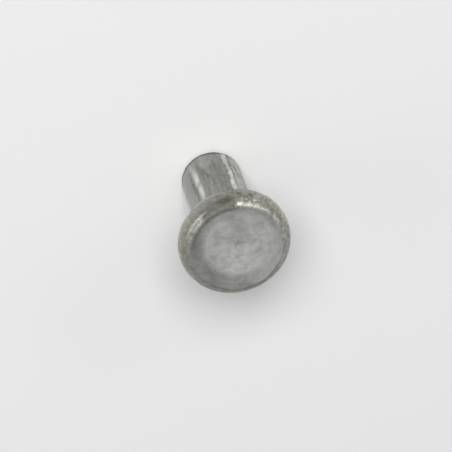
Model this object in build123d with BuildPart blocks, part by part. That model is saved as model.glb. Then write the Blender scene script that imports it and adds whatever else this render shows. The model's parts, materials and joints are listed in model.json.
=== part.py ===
"""Flat head rivet: one solid steel pin, cold headed from drawn wire, before it is set.

Millimetres, +Z up. The origin is the centre of the head's underside, the plane that seats
on the riveted plate. The head stands above it, and the shank goes down from it along -Z.
"""

import os

from build123d import *

# Driving sizes
shank_diameter = 5.0
shank_length = 10.0  # from the head's underside to the cut end
head_diameter = 9.2
head_height = 2.0

# The head's side leans in from its shoulder up to the face. These are how far it leans in and
# how high it rises, between the sharp corners, before they are rounded.
side_lean = 0.65
side_rise = 0.85

# Roundings, in the order that the half-section meets them
face_edge_radius = 0.5  # rubbed edge of the flat face
shoulder_radius = 1.2  # where the leaning side turns down into the rim
seat_edge_radius = 0.4  # where the rim meets the underside
neck_radius = 0.25  # fillet where the shank grows out of the head
end_edge_radius = 0.3  # worn edge of the cut end

os.makedirs("parts", exist_ok=True)

head_radius = head_diameter / 2
face_radius = head_radius - side_lean
shoulder_height = head_height - side_rise
shank_radius = shank_diameter / 2

# The half-section runs from the middle of the face, over the head's side and down the shank,
# to the middle of the end. Turned about the axis, it is the whole rivet.
with BuildPart() as rivet:
    with BuildSketch(Plane.XZ):
        with BuildLine():
            outline = FilletPolyline(
                (0, head_height),
                (face_radius, head_height),
                (head_radius, shoulder_height),
                (head_radius, 0),
                (shank_radius, 0),
                (shank_radius, -shank_length),
                (0, -shank_length),
                radius=[
                    face_edge_radius,
                    shoulder_radius,
                    seat_edge_radius,
                    neck_radius,
                    end_edge_radius,
                ],
            )
            Line(outline @ 1, outline @ 0)
        make_face()
    revolve(axis=Axis.Z)

rivet.part.label = "rivet"
export_step(rivet.part, "parts/rivet.step")
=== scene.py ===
import json
import math
import random

import bmesh
import bpy
from mathutils import Matrix, Vector, noise


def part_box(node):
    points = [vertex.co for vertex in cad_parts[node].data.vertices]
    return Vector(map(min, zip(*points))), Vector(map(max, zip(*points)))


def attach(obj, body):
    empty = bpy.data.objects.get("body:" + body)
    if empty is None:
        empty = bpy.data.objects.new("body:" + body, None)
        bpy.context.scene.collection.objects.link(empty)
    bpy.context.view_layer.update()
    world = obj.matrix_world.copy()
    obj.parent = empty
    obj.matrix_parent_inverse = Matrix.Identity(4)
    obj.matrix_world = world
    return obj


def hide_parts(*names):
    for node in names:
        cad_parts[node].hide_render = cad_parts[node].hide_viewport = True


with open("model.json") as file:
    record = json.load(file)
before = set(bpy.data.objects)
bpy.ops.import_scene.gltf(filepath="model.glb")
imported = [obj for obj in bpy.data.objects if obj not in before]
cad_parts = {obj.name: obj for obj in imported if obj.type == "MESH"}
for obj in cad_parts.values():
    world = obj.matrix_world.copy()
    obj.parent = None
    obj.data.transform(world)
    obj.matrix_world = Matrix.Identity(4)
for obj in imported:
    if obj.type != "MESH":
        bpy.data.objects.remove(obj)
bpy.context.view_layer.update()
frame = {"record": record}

# ---------------------------------------------------------------------------------------------
# The rivet is one length of drawn plain steel wire. One end is sheared, and the other is upset
# cold, between dies, into a low flat head whose side leans in from the rim up to the face.

MM = 0.001
low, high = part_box("rivet")
mounts = {mount["name"]: mount for mount in frame["record"]["mounts"]}
shank_radius = mounts["shank"]["dims"]["r_mm"] * MM
shank_end = low.z
head_radius = high.x
head_top = high.z
side_lean = 0.65 * MM
side_rise = 0.85 * MM
face_radius = head_radius - side_lean
shoulder = head_top - side_rise
face_edge_radius = 0.5 * MM
shoulder_radius = 1.2 * MM
seat_edge_radius = 0.4 * MM
neck_radius = 0.25 * MM
end_edge_radius = 0.3 * MM
sides = 384
near = 0.001 * MM
merge_gap = 0.0001 * MM
nearly_all = 0.9


def pick(kind, wanted):
    """In edit mode, selects only the faces or edges that pass the test."""
    bpy.ops.mesh.select_all(action="DESELECT")
    bpy.ops.mesh.select_mode(type=kind)
    mesh = bmesh.from_edit_mesh(bpy.context.object.data)
    for item in mesh.faces if kind == "FACE" else mesh.edges:
        if wanted(item):
            item.select_set(True)
    bmesh.update_edit_mesh(bpy.context.object.data)


def on_ring(vertex, radius, height):
    """Whether a corner is on the level ring of this radius at this height."""
    from_axis = math.hypot(vertex.co.x, vertex.co.y)
    return abs(from_axis - radius) < near and abs(vertex.co.z - height) < near


def round_off(radius, height, rounding, turn, segments):
    """Bevels the sharp ring at this radius and height, where the section turns by this angle."""
    pick("EDGE", lambda edge: all(on_ring(vertex, radius, height) for vertex in edge.verts))
    reach = rounding * math.tan(turn / 2)
    bpy.ops.mesh.bevel(offset=reach, segments=segments, profile=0.5, affect="EDGES")


def ring_cuts(lowest, highest, widest, narrowest, cuts):
    """Cuts the long edges that run up one band of the blank, and so the band into rings."""

    def runs_up(edge):
        reaches = [math.hypot(vertex.co.x, vertex.co.y) for vertex in edge.verts]
        heights = [vertex.co.z for vertex in edge.verts]
        inside = min(heights) > lowest - near and max(heights) < highest + near
        inside = inside and min(reaches) > narrowest - near and max(reaches) < widest + near
        return inside and edge.calc_length() > shortest

    shortest = nearly_all * max(highest - lowest, widest - narrowest)
    pick("EDGE", runs_up)
    bpy.ops.mesh.subdivide(number_cuts=cuts)


def fill_with_rings(height, radius, rings):
    """Insets a round end again and again towards its middle, and closes the middle in a point."""
    pick("FACE", lambda face: len(face.verts) == sides and abs(face.verts[0].co.z - height) < near)
    for _ in range(rings):
        bpy.ops.mesh.inset(thickness=radius / (rings + 1), use_even_offset=False)
    bpy.ops.mesh.poke()


bpy.ops.object.select_all(action="DESELECT")
bpy.ops.mesh.primitive_cylinder_add(
    vertices=sides, radius=shank_radius, depth=-shank_end, location=(0, 0, shank_end / 2)
)
rivet = bpy.context.object
rivet.name = "solid_rivet"
bpy.ops.object.transform_apply(location=True, rotation=True, scale=True)
bpy.ops.object.mode_set(mode="EDIT")

pick("FACE", lambda face: face.normal.z > nearly_all)
bpy.ops.mesh.extrude_region_move(TRANSFORM_OT_translate={"value": (0, 0, 0)})
spread = head_radius / shank_radius
bpy.ops.transform.resize(value=(spread, spread, 1), center_override=(0, 0, 0))
bpy.ops.mesh.extrude_region_move(TRANSFORM_OT_translate={"value": (0, 0, shoulder)})
bpy.ops.mesh.extrude_region_move(TRANSFORM_OT_translate={"value": (0, 0, head_top - shoulder)})
narrowing = face_radius / head_radius
bpy.ops.transform.resize(value=(narrowing, narrowing, 1), center_override=(0, 0, 0))

square = math.pi / 2
side_slope = math.atan2(head_top - shoulder, head_radius - face_radius)
face_reach = face_edge_radius * math.tan(side_slope / 2)
shoulder_reach = shoulder_radius * math.tan((square - side_slope) / 2)
round_off(face_radius, head_top, face_edge_radius, side_slope, segments=12)
round_off(head_radius, shoulder, shoulder_radius, square - side_slope, segments=10)
round_off(head_radius, 0, seat_edge_radius, square, segments=6)
round_off(shank_radius, 0, neck_radius, square, segments=6)
round_off(shank_radius, shank_end, end_edge_radius, square, segments=7)

ring_cuts(seat_edge_radius, shoulder - shoulder_reach, head_radius, head_radius, cuts=5)
ring_cuts(0, 0, head_radius - seat_edge_radius, shank_radius + neck_radius, cuts=12)
side_foot = shoulder + shoulder_reach * math.sin(side_slope)
side_head = head_top - face_reach * math.sin(side_slope)
ring_cuts(side_foot, side_head, head_radius, face_radius, cuts=4)
ring_cuts(shank_end + end_edge_radius, -neck_radius, shank_radius, shank_radius, cuts=140)
fill_with_rings(head_top, face_radius - face_reach, rings=34)
fill_with_rings(shank_end, shank_radius - end_edge_radius, rings=18)

bpy.ops.mesh.select_all(action="SELECT")
bpy.ops.mesh.remove_doubles(threshold=merge_gap)
bpy.ops.mesh.normals_make_consistent(inside=False)
bpy.ops.object.mode_set(mode="OBJECT")
bpy.ops.object.shade_smooth()

# Heading and handling leave it less than true. The dies part along four lines, where thin ribs
# of steel run down the shank beside torn seams. The upset edge is uneven, the face falls a little
# towards its edge, and loose rivets have dented one another. All of this is in mm.
rib_degrees = (-43, 37, 139, 222)
rib_heights = (0.06, 0.045, 0.04, 0.05)
rib_half_width = 0.12
seam_beside_rib = 0.17
seam_depth = 0.06
wave_height = 0.016
ripple_height = 0.006
rim_waves = 0.012
face_fall = 0.05
foot_wear = 0.05
skin_ripple = 0.003
end_hollow = 0.015


def step(value, start, end):
    """0 up to start, 1 from end on, smooth between; start may be the larger."""
    share = min(max((value - start) / (end - start), 0), 1)
    return share * share * (3 - 2 * share)


def bell(distance, reach):
    """1 at no distance, falling smoothly to 0 at reach."""
    return max(0, 1 - (distance / reach) ** 2) ** 2


def head_radius_at(height):
    """The plain head's radius, in mm, at a height above its underside."""
    rise = max(0, height * MM - shoulder + shoulder_reach)
    return (head_radius - rise / math.tan(side_slope) * step(rise, 0, shoulder_reach)) / MM


random.seed(11)
dents = []


def add_dent(turn, height, reach, depth):
    """Notes one dent in the head's side or in the shank, this far round from the front."""
    from_axis = head_radius_at(height) if height > 0 else shank_radius / MM
    middle = Vector((math.sin(turn) * from_axis, -math.cos(turn) * from_axis, height))
    dents.append((middle, reach, depth))


def scatter_dents(count, degrees, heights, reaches, depths):
    """Scatters small dents over a stretch of the head's side or of the shank."""
    for _ in range(count):
        turn = math.radians(random.uniform(*degrees))
        height = random.uniform(*heights)
        add_dent(turn, height, random.uniform(*reaches), random.uniform(*depths))


scatter_dents(90, degrees=(-100, -20), heights=(0.3, 1.85), reaches=(0.12, 0.28), depths=(0.02, 0.07))
scatter_dents(90, degrees=(-180, 180), heights=(0.1, 1.95), reaches=(0.15, 0.45), depths=(0.01, 0.04))
scatter_dents(50, degrees=(-180, 180), heights=(-9.7, -0.5), reaches=(0.12, 0.4), depths=(0.01, 0.035))

# The hardest knocks left wider dents in the rim: degrees round, height and half width.
knocks = ((-32, 0.95, 0.17), (-39, 0.9, 0.18), (-48, 1.2, 0.27), (-57, 1.45, 0.22))
knocks += ((-57, 1.8, 0.22), (-66, 1.3, 0.2), (-78, 1.1, 0.25), (56, 0.6, 0.2), (37, 0.35, 0.2))
knocks += ((118, 1.1, 0.25), (131, 0.7, 0.2), (-128, 0.8, 0.25), (-150, 1.2, 0.2), (170, 0.9, 0.22))
knock_spread = 1.6
knock_depth = 0.22
for knock_degrees, knock_height, half_width in knocks:
    knock_turn = math.radians(knock_degrees)
    add_dent(knock_turn, knock_height, knock_spread * half_width, knock_depth * half_width)


def shank_wear(spot, reach, turn, bearing):
    """What waves, ribs and torn seams add to the shank's surface at a spot."""
    share = step(spot.z, -0.1, -0.5) * step(reach, 2.2, 2.4)
    if share == 0:
        return 0
    drawn = bearing * 2.6 + Vector((0, 0, spot.z * 0.07))
    waves = wave_height * (noise.noise(drawn) - 1) + ripple_height * noise.noise(drawn * 3.3)
    added = share * (waves - ripple_height * (1 + noise.noise(spot * 1.9)))
    unworn = step(spot.z, -9.95, -9.0) * share
    for degrees, rib_height in zip(rib_degrees, rib_heights):
        rib = math.radians(degrees)
        wander = 0.02 * noise.noise(Vector((rib * 5, 0, spot.z * 0.6)))
        aside = ((turn - rib - wander + math.pi) % (2 * math.pi) - math.pi) * reach
        rise = 0.7 + 0.6 * noise.noise(Vector((0, rib * 7, spot.z * 1.3)))
        torn = max(0, 0.3 + noise.noise(Vector((rib * 3, 4, spot.z * 2.6))))
        added += rib_height * unworn * rise * bell(aside, rib_half_width)
        added -= seam_depth * unworn * torn * bell(aside - seam_beside_rib, rib_half_width)
    return added


def head_wear(spot, reach, bearing):
    """What the uneven rim, the falling face and the worn foot of the rim take off the head."""
    uneven = 1 + noise.noise(bearing * 1.3 + Vector((0, 0, 4)))
    taken = rim_waves * uneven * step(reach, 3.3, 4.2)
    taken += skin_ripple * (1 + noise.noise(spot * 3.1))
    taken += face_fall * step(spot.z, 1.5, 1.9) * (reach / 3.8) ** 3
    taken += skin_ripple * step(spot.z, 1.9, 1.99) * (1 + noise.noise(spot * 1.7))
    foot = step(spot.z, 0.9, 0.2) * step(reach, 3.9, 4.3)
    return taken + foot_wear * foot * (0.8 + noise.noise(bearing * 1.1))


def surface_change(spot):
    """How far the real surface stands out from the true one at a spot."""
    reach = math.hypot(spot.x, spot.y)
    turn = math.atan2(spot.x, -spot.y)
    bearing = Vector((math.sin(turn), math.cos(turn), 0))
    change = shank_wear(spot, reach, turn, bearing)
    if spot.z > 0.02:
        change -= head_wear(spot, reach, bearing)
    if spot.z < -9.6:
        change -= end_hollow * (1 + noise.noise(spot * 2.3)) * step(reach, 1.9, 1.4)
    for middle, dent_reach, depth in dents:
        if abs(middle.z - spot.z) < dent_reach:
            change -= depth * bell((middle - spot).length, dent_reach)
    return change


true_normals = [vertex.normal.copy() for vertex in rivet.data.vertices]
for vertex, normal in zip(rivet.data.vertices, true_normals):
    vertex.co += normal * surface_change(vertex.co / MM) * MM

# The finish is bare steel. The dies burnish strips along the shank, and those towards the front are
# also painted reflections of the lamps. Drawing soap and heat stain the rim olive and brown, and the
# header's punch leaves the face pale, with faint swirls.
# Places and widths are in mm and degrees, and greys and what is added to them are shares of white.


class Term:
    """A node's output that can be written into sums: each operator adds one Math node."""

    def __init__(self, tree, socket=None):
        self.tree = tree
        self.socket = socket

    def node(self, kind, inputs=(), output=0, **settings):
        """Adds a node of any kind: its settings first, then values or links for its sockets."""
        made = self.tree.nodes.new("ShaderNode" + kind)
        for name, value in settings.items():
            setattr(made, name, value)
        for name, value in dict(inputs).items():
            if isinstance(value, Term):
                self.tree.links.new(value.socket, made.inputs[name])
            else:
                made.inputs[name].default_value = value
        return Term(self.tree, made.outputs[output] if made.outputs else None)

    def math(self, operation, *values):
        """Adds a Math node that works on these values."""
        return self.node("Math", enumerate(values), operation=operation)

    def __add__(self, other):
        return self.math("ADD", self, other)

    __radd__ = __add__

    def __sub__(self, other):
        return self.math("SUBTRACT", self, other)

    def __rsub__(self, other):
        return self.math("SUBTRACT", other, self)

    def __mul__(self, other):
        return self.math("MULTIPLY", self, other)

    __rmul__ = __mul__

    def __truediv__(self, other):
        return self.math("DIVIDE", self, other)

    def between(self, start, end):
        """0 up to start, 1 from end on, and a smooth step from one to the other."""
        inputs = {"Value": self, "From Min": start, "From Max": end}
        return self.node("MapRange", inputs, interpolation_type="SMOOTHSTEP")

    def stretched(self, *factors):
        """A place with its three coordinates multiplied."""
        return self.node("VectorMath", {0: self, 1: factors}, operation="MULTIPLY")

    def moved(self, *offset):
        """A place with its three coordinates added to."""
        return self.node("VectorMath", {0: self, 1: offset}, operation="ADD")

    def away_from(self, *point):
        """How far this place is from a point."""
        return self.node("VectorMath", {0: self, 1: point}, output=1, operation="DISTANCE")

    def clouds(self, scale, detail=3, roughness=0.5, distortion=0):
        """Soft noise about 0 at this place, mostly from -1 to 1, at a scale in blotches a mm."""
        inputs = {"Vector": self, "Scale": scale, "Detail": detail}
        inputs |= {"Roughness": roughness, "Distortion": distortion}
        middle, contrast = 0.5, 4
        return (self.node("TexNoise", inputs) - middle) * contrast

    def tinted(self, other, share):
        """This colour, mixed towards another by a share from 0 to 1."""
        return self.node("Mix", {0: share, 6: self, 7: other}, output=2, data_type="RGBA")


steel = bpy.data.materials.new("drawn_steel")
steel.use_nodes = True
steel.node_tree.nodes.clear()
sheet = Term(steel.node_tree)
in_metres = sheet.node("TexCoord", output="Object")
place = sheet.node("Mapping", {"Vector": in_metres, "Scale": (1 / MM, 1 / MM, 1 / MM)})
x, y, z = (sheet.node("SeparateXYZ", {0: place}, output=axis) for axis in range(3))
from_axis_squared = x * x + y * y
from_axis = from_axis_squared.math("SQRT", from_axis_squared)
along_sway = place.stretched(0.3, 0.3, 0.7).clouds(1.0, 3)


def side(degrees, edge, full, sways=0):
    """1 on the side that faces this way round the axis, where 0 is the front and 90 is +X, out
    to full degrees off it, and 0 past edge. It may sway by some degrees along the axis."""
    turn = math.radians(degrees)
    share = (x * math.sin(turn) - y * math.cos(turn)) / from_axis
    if sways:
        across = (x * math.cos(turn) + y * math.sin(turn)) / from_axis
        share = share + across * along_sway * math.radians(sways)
    return share.between(math.cos(math.radians(edge)), math.cos(math.radians(full)))


broad = place.clouds(0.5, 3, 0.55, 0.4)
blotches = place.moved(3, 1, 7).clouds(1.1, 3, 0.6, 0.5)
mottle = place.moved(5, 9, 2).clouds(2.6, 3, 0.6, 0.4)
grain = place.clouds(8.0, 3, 0.65)

# Three fields: the shank from its neck down, the flat face as far as its rounded edge, and the
# rim, which is all the rest of the head. One side of the rim was knocked about more.
neck_height = -0.05
face_edge = 4.0
shank = (neck_height - z).between(0, 0.4) * from_axis.between(2.2, 2.35)
face = (face_edge - from_axis - 0.1 * blotches).between(0, 0.4) * z.between(1.5, 1.8)
rim = (1 - face) * (1 - shank)
busy_side = side(-57, edge=56, full=28)

# The face is the lightest part, mottled, with faint broken rings round the punch's mark. It is darker
# round a pale middle and towards the front, and has a painted dark reflection in a narrow ring inside
# the ridge.
face_grey = 0.48
punch_x, punch_y = -0.2, -0.45
pale_x, pale_y = -0.25, -0.3
face_height = head_top / MM
from_punch = place.away_from(punch_x, punch_y, face_height)
ring_place = {0: (x - punch_x) / from_punch, 1: (y - punch_y) / from_punch}
ring_place[2] = from_punch * 2.2 + 0.7 * blotches
swirl = sheet.node("CombineXYZ", ring_place).clouds(1.0, 3, 0.5)
face_tone = face_grey + 0.09 * broad + 0.07 * blotches + 0.045 * mottle
face_tone = face_tone + 0.065 * swirl + 0.055 * grain
from_pale = place.away_from(pale_x, pale_y, face_height) + 0.08 * y
edge_dark = (from_pale + 0.22 * blotches + 0.25 * mottle + 0.1 * grain).between(2.55, 3.4)
edge_dark = edge_dark * (1 - 0.5 * side(-128, edge=60, full=20))
# Painted dark reflection: a narrow ring inside the ridge, at the front and left, is painted darker.
painted_reflection_ring = (from_axis + 0.05 * mottle).between(3.4, 3.66) * (3.93 - from_axis).between(0, 0.16)
painted_reflection_ring = painted_reflection_ring * side(26, edge=60, full=36)
left_dark = side(95, edge=62, full=20) * from_axis.between(2.4, 3.1)
punch_mark = (0.4 + 0.1 * mottle - from_punch).between(0, 0.35)
face_tone = face_tone * (0.8 + 0.25 * y.between(-3.4, 1.6)) * (1 - 0.4 * edge_dark)
face_tone = face_tone * (1 - 0.22 * painted_reflection_ring) * (1 - 0.08 * left_dark) * (1 - 0.22 * punch_mark)

# The shank is darker, in long soft patches under fine drawn lines, with lighter strips where the dies
# burnished it, which towards the front are also painted reflections of the lamps, and dark torn seams
# beside the ribs. One side is painted lighter, as if lit. The cut end is darker in a band.
shank_grey = 0.27
end_height = shank_end / MM
line_sway = 2.2
long_patches = place.stretched(1.0, 1.0, 0.38).clouds(1.1, 3, 0.6, 0.5)
streaks = place.stretched(4.2, 4.2, 0.2).clouds(1.0, 3, 0.6)
fine_streaks = place.stretched(12.0, 12.0, 0.6).clouds(1.0, 3, 0.6)
breaks = place.stretched(2.4, 2.4, 0.8).clouds(1.2, 2, 0.5)
front_patches = 0.05 * side(0, edge=32, full=12)
shank_tone = shank_grey + (0.075 + front_patches) * long_patches + 0.05 * streaks
shank_tone = shank_tone + 0.045 * fine_streaks + 0.045 * mottle
near_end = z.between(end_height + 1.8, end_height + 0.6)
# Painted light: one side of the shank is painted lighter, as if lit. The shank is also lighter towards
# the cut end.
shank_tone = shank_tone + 0.06 * side(60, edge=45, full=10) + 0.05 * near_end


def rubbed_and_reflected(degrees, half_width, light, patchy):
    """A lighter strip of the shank, this many degrees to each side, broken by patches: burnished, and
    towards the front also a painted reflection of a lamp.
    """
    share = side(degrees, half_width, half_width * 0.3, line_sway)
    return light * share * (patchy * breaks + 0.75).between(0, 1.2)


# One strip fades out down the shank. The others run all along it, and for each of them stand its
# degrees round, its half width, how much lighter it is, and how patchy.
# Painted reflections: the strips towards the front also stand for the lamps' reflections; all of them
# are burnished metal too.
rubbed_and_reflected_strips = rubbed_and_reflected(27.5, 6.5, light=0.42, patchy=0.45) * z.between(-10.6, -6.0)
long_rubbed_and_reflected_strips = ((-39, 6.5, 0.55, 0.6), (-58, 16, 0.2, 0.9), (139, 9, 0.3, 0.7))
long_rubbed_and_reflected_strips += ((222, 8, 0.36, 0.6), (-110, 14, 0.14, 0.8), (6, 5, 0.1, 0.9))
long_rubbed_and_reflected_strips += ((98, 8, 0.14, 0.8), (176, 7, 0.16, 0.8))
for strip_degrees, strip_width, lighter, patchiness in long_rubbed_and_reflected_strips:
    rubbed_and_reflected_strips = rubbed_and_reflected_strips + rubbed_and_reflected(strip_degrees, strip_width, lighter, patchiness)
torn_seam = side(-35.5, 3.2, 1.0, line_sway) * z.between(-8.4, -7.4)
torn_seam = torn_seam + side(-47.5, 2.4, 0.8, line_sway)
torn_seam = torn_seam + side(38.5, 2.6, 0.8, line_sway) * z.between(-8.8, -7.6)
torn_seam = torn_seam + side(144, 2.8, 1.0, line_sway) + side(227, 2.6, 1.0, line_sway)
torn_seam = torn_seam * (mottle + streaks).between(-0.7, 0.6)
end_edge = z.between(end_height + 0.45, end_height + 0.25) * side(55, edge=50, full=20)
# The cut end is darker in a band, wider on one side.
dark_end_band = z - 0.15 * side(75, edge=60, full=30) + 0.04 * mottle
dark_end_band = dark_end_band.between(end_height + 0.58, end_height + 0.32)
shank_tone = (shank_tone + rubbed_and_reflected_strips + 0.08 * end_edge) * (1 - 0.6 * torn_seam) * (1 - 0.6 * dark_end_band)

# The rim is stained and pitted, with painted shade at the front, towards the back and up towards the
# face, and darker at its foot; one side is painted lighter, as if lit, and it is bright in flat spots
# where it was knocked. The ridge beside the face is burnished and carries painted highlights in long
# broken arcs.
rim_grey = 0.4
rim_roughness = 1 + 0.9 * busy_side
rim_tone = rim_grey + 0.05 * broad + 0.08 * blotches
rim_tone = rim_tone + rim_roughness * (0.12 * mottle + 0.08 * grain)
# Painted shade: the rim is darker at the front and towards the back, and (below) darker up towards the
# face.
rim_tone = rim_tone * (1 - 0.22 * side(-2, edge=38, full=10)) * (1 - 0.3 * y.between(1.2, 3.4))
upper = (z + 0.15 * blotches + 0.08 * mottle).between(0.5, 1.35)
rim_tone = rim_tone * (1.12 - 0.3 * upper)
# Painted highlight: a band at the rim's foot on one side is painted lighter and tinted moss.
foot_moss_and_highlight = (0.6 - z).between(0, 0.4) * side(32, edge=40, full=16)
rim_tone = rim_tone + 0.3 * foot_moss_and_highlight * (0.6 + 0.7 * mottle)
# The rim is darker towards its foot, except on one side.
darker_foot = (0.8 - z + 0.1 * mottle).between(0, 0.6) * (1 - side(34, edge=44, full=24))
# Painted light: one side of the rim is painted lighter, as if lit.
rim_tone = rim_tone * (1 + 0.25 * side(-105, edge=55, full=20)) * (1 - 0.4 * darker_foot)
pits = (0.4 * blotches + mottle + 0.5 * grain).between(-0.55, -1.15)
pits = pits * rim * (0.35 + 0.65 * busy_side)

# Painted highlights: the arcs on the ridge are painted lighter, partly burnished wear and partly the
# lamps' highlights; the thin arc outside them is a painted highlight.
ridge = from_axis.between(3.84, 3.95) * z.between(1.5, 1.6)
ridge = ridge * (4.1 + 0.04 * busy_side - from_axis + 0.04 * mottle).between(0, 0.1)
arcs = 0.62 * side(-31, edge=17, full=8) + side(-60, edge=22, full=12)
arcs = arcs + 0.35 * side(150, edge=34, full=15) + 0.3 * side(-135, edge=30, full=15)
worn_and_highlight_ridge = ridge * arcs * (mottle * (0.35 + 0.2 * busy_side) + 0.85).between(0, 1.2)
thin_highlight_arc = (from_axis + 0.02 * mottle).between(4.1, 4.17) * (4.29 - from_axis).between(0, 0.07)
thin_highlight_arc = thin_highlight_arc * side(37, edge=21, full=8) * (mottle * 0.5 + 0.8).between(0, 1)
worn_and_highlight_ridge = worn_and_highlight_ridge + thin_highlight_arc * upper
flat_spots = place.moved(2, 5, 1).stretched(1.0, 1.0, 1.6).clouds(2.7, 3, 0.6, 0.8)
knocked = (flat_spots + 0.3 * grain).between(0.45, 0.95) * rim * (0.12 + 0.88 * busy_side)
rim_tone = (rim_tone + 0.34 * worn_and_highlight_ridge + 0.48 * knocked) * (1 - 0.7 * pits)

# Heat left a small brown patch below the ridge at the front, and the ridge there is dull and painted
# darker, as shade.
burn_x, burn_y, burn_height = -0.32, -4.3, 1.5
burn_squeeze = 0.6
burn_place = place.stretched(burn_squeeze, 1.0, 1.0)
from_burn = burn_place.away_from(burn_squeeze * burn_x, burn_y, burn_height)
burn = (0.5 - from_burn + 0.16 * mottle).between(0, 0.4) * rim
# Painted shade: the ridge at the front is painted darker, and it is rougher there too.
dull_shaded_gap = side(4, edge=27, full=18) * (from_axis + 0.08 * mottle).between(3.35, 3.9)
dull_shaded_gap = dull_shaded_gap * (z + 0.1 * mottle).between(1.2, 1.5)

darkest = 0.05
lightest = 0.8
tone = face * face_tone + shank * shank_tone + rim * rim_tone
tone = tone * (1 - 0.3 * burn) * (1 - 0.4 * dull_shaded_gap)
tone = tone.math("MINIMUM", tone.math("MAXIMUM", tone, darkest), lightest)

# The grey is nearly neutral, and each stain tints it: violet on parts of the face, olive nearly
# everywhere on the rim, moss at its foot, over the painted highlight there, and on its knocked side,
# and brown in patches.
grey = (1.0, 1.0, 0.975, 1)
olive = (1.0, 0.99, 0.84, 1)
brown = (1.0, 0.88, 0.76, 1)
mossy = (1.0, 1.0, 0.70, 1)
violet = (1.0, 0.97, 0.985, 1)
violet_share = 0.5 * left_dark * face * (0.6 + 0.6 * mottle)
violet_share = violet_share + 0.5 * face * (broad - blotches).between(0.4, 1.4)
clean = sheet.node("Mix", {0: violet_share, 6: grey, 7: violet}, output=2, data_type="RGBA")
olive_share = rim * (0.5 + 0.5 * blotches + 0.2 * upper - 0.5 * knocked - 0.4 * worn_and_highlight_ridge)
olive_share = olive_share + shank * (0.25 + 0.3 * mottle + 0.3 * torn_seam)
olive_share = olive_share + face * (0.25 * blotches - 0.2 * broad + 0.12 * mottle + 0.05)
moss_share = rim * (0.9 * mottle - 0.5 * broad + grain).between(0.1, 1.5)
moss_share = moss_share * (0.6 * busy_side + 1.3 * foot_moss_and_highlight)
brown_share = 0.8 * burn + 0.6 * rim * (broad - mottle).between(1.0, 1.9)
brown_share = brown_share + 0.5 * torn_seam * shank
tint = clean.tinted(olive, olive_share).tinted(mossy, moss_share).tinted(brown, brown_share)
colour = tint.node("VectorMath", {0: tint, 3: tone}, operation="SCALE")

satin = 0.37
rough = satin + 0.03 * blotches + 0.03 * mottle + 0.07 * rim + 0.22 * dull_shaded_gap + 0.1 * pits
rough = rough - 0.21 * worn_and_highlight_ridge - 0.08 * shank * rubbed_and_reflected_strips - 0.1 * knocked

relief = shank * (0.004 * streaks + 0.002 * fine_streaks + 0.006 * long_patches)
relief = relief - 0.03 * shank * torn_seam + 0.002 * face * swirl - 0.015 * punch_mark
relief = relief + 0.004 * mottle + 0.002 * grain - 0.03 * pits + 0.004 * rim * (blotches + grain)
normal_map = sheet.node("Bump", {"Height": relief, "Distance": MM, "Strength": 1.0})

inputs = {"Base Color": colour, "Metallic": 1.0, "Roughness": rough, "Normal": normal_map}
surface = sheet.node("BsdfPrincipled", inputs)
sheet.node("OutputMaterial", {"Surface": surface})
rivet.data.materials.clear()
rivet.data.materials.append(steel)

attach(rivet, "root")
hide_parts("rivet")

# ---------------------------------------------------------------------------------------------
# The table is one plain sheet of pale matt paper, which the rivet stands on, on its cut end.

paper_white = (0.885, 0.885, 0.883, 1)
paper_roughness = 0.9
table_width = 2.0
bpy.ops.object.select_all(action="DESELECT")
bpy.ops.mesh.primitive_plane_add(size=table_width, location=(0, 0, shank_end))
floor = bpy.context.object
floor.name = "floor"
paper = bpy.data.materials.new("paper")
paper.use_nodes = True
paper_sheet = paper.node_tree.nodes["Principled BSDF"]
paper_sheet.inputs["Base Color"].default_value = paper_white
paper_sheet.inputs["Roughness"].default_value = paper_roughness
floor.data.materials.append(paper)

# ---------------------------------------------------------------------------------------------
# The camera looks down on the head's face, 31 degrees off the rivet's axis, and is rolled so
# that the rivet points down to the right.

off_axis = math.radians(31.3)
roll = math.radians(20.3)
camera_distance = 0.2726
frame_width = 36.24 * MM
aim_right = -0.546 * MM
aim_up = 0.859 * MM
film_width = 36

towards_camera = Vector((0, -math.sin(off_axis), math.cos(off_axis)))
down_the_view = Vector((0, math.cos(off_axis), math.sin(off_axis)))
to_the_left = Vector((-1, 0, 0))
right = down_the_view * math.sin(roll) + to_the_left * math.cos(roll)
up = to_the_left * math.sin(roll) - down_the_view * math.cos(roll)
aim = right * aim_right + up * aim_up

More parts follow.
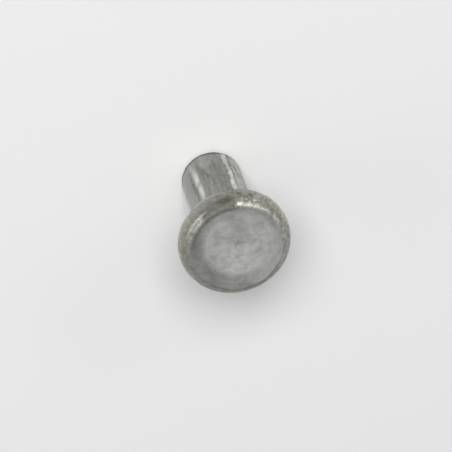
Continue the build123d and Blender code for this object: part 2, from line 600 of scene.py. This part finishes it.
camera_data = bpy.data.cameras.new("camera")
camera_data.sensor_width = film_width
camera_data.lens = film_width * camera_distance / frame_width
camera_data.clip_start = 0.01
camera_data.clip_end = 10
camera = bpy.data.objects.new("camera", camera_data)
camera_turn = Matrix((right, up, towards_camera)).transposed().to_4x4()
camera.matrix_world = Matrix.Translation(aim + towards_camera * camera_distance) @ camera_turn
bpy.context.scene.collection.objects.link(camera)
bpy.context.scene.camera = camera

# ---------------------------------------------------------------------------------------------
# Soft studio light: a wide softbox in front and above, two slim ones low at the sides, and a
# pale room, which polished steel shows brighter overhead than near the floor.

room_light = 0.335
glow_low = 0.5
glow_rise = 0.47
world = bpy.data.worlds.new("studio")
bpy.context.scene.world = world
world.use_nodes = True
world.node_tree.nodes.clear()
room = Term(world.node_tree)
height_up = room.node("SeparateXYZ", {0: room.node("TexCoord", output="Generated")}, output=2)
glow = glow_low + glow_rise * height_up.between(0.1, 0.85)
rays = [room.node("LightPath", output=f"Is {ray} Ray") for ray in ("Camera", "Glossy", "Transmission")]
mirrored = rays[0] + rays[1] + rays[2]
strength = room_light + mirrored * (glow - room_light)
room.node("OutputWorld", {"Surface": room.node("Background", {"Strength": strength})})


def softbox(name, azimuth, elevation, distance, width, depth, light):
    """A lamp that faces the rivet from this far round and up, where azimuth 0 is the front.
    Light is what it adds to a white sheet that faces it, as a share of full white."""
    round_by, up_by = math.radians(azimuth), math.radians(elevation)
    level = math.cos(up_by)
    direction = Vector((math.sin(round_by) * level, -math.cos(round_by) * level, math.sin(up_by)))
    lamp_data = bpy.data.lights.new(name, "AREA")
    lamp_data.shape = "RECTANGLE"
    lamp_data.size = width
    lamp_data.size_y = depth
    lamp_data.energy = light * (math.pi * distance) ** 2
    lamp = bpy.data.objects.new(name, lamp_data)
    aimed = direction.to_track_quat("Z", "Y").to_matrix().to_4x4()
    lamp.matrix_world = Matrix.Translation(direction * distance) @ aimed
    bpy.context.scene.collection.objects.link(lamp)


softbox("front", azimuth=-1, elevation=52, distance=0.9, width=0.44, depth=0.32, light=0.8)
softbox("left", azimuth=66, elevation=32, distance=0.22, width=0.12, depth=0.05, light=0.065)
softbox("right", azimuth=-55, elevation=35, distance=0.22, width=0.12, depth=0.05, light=0.06)

bpy.context.scene.view_settings.view_transform = "Standard"
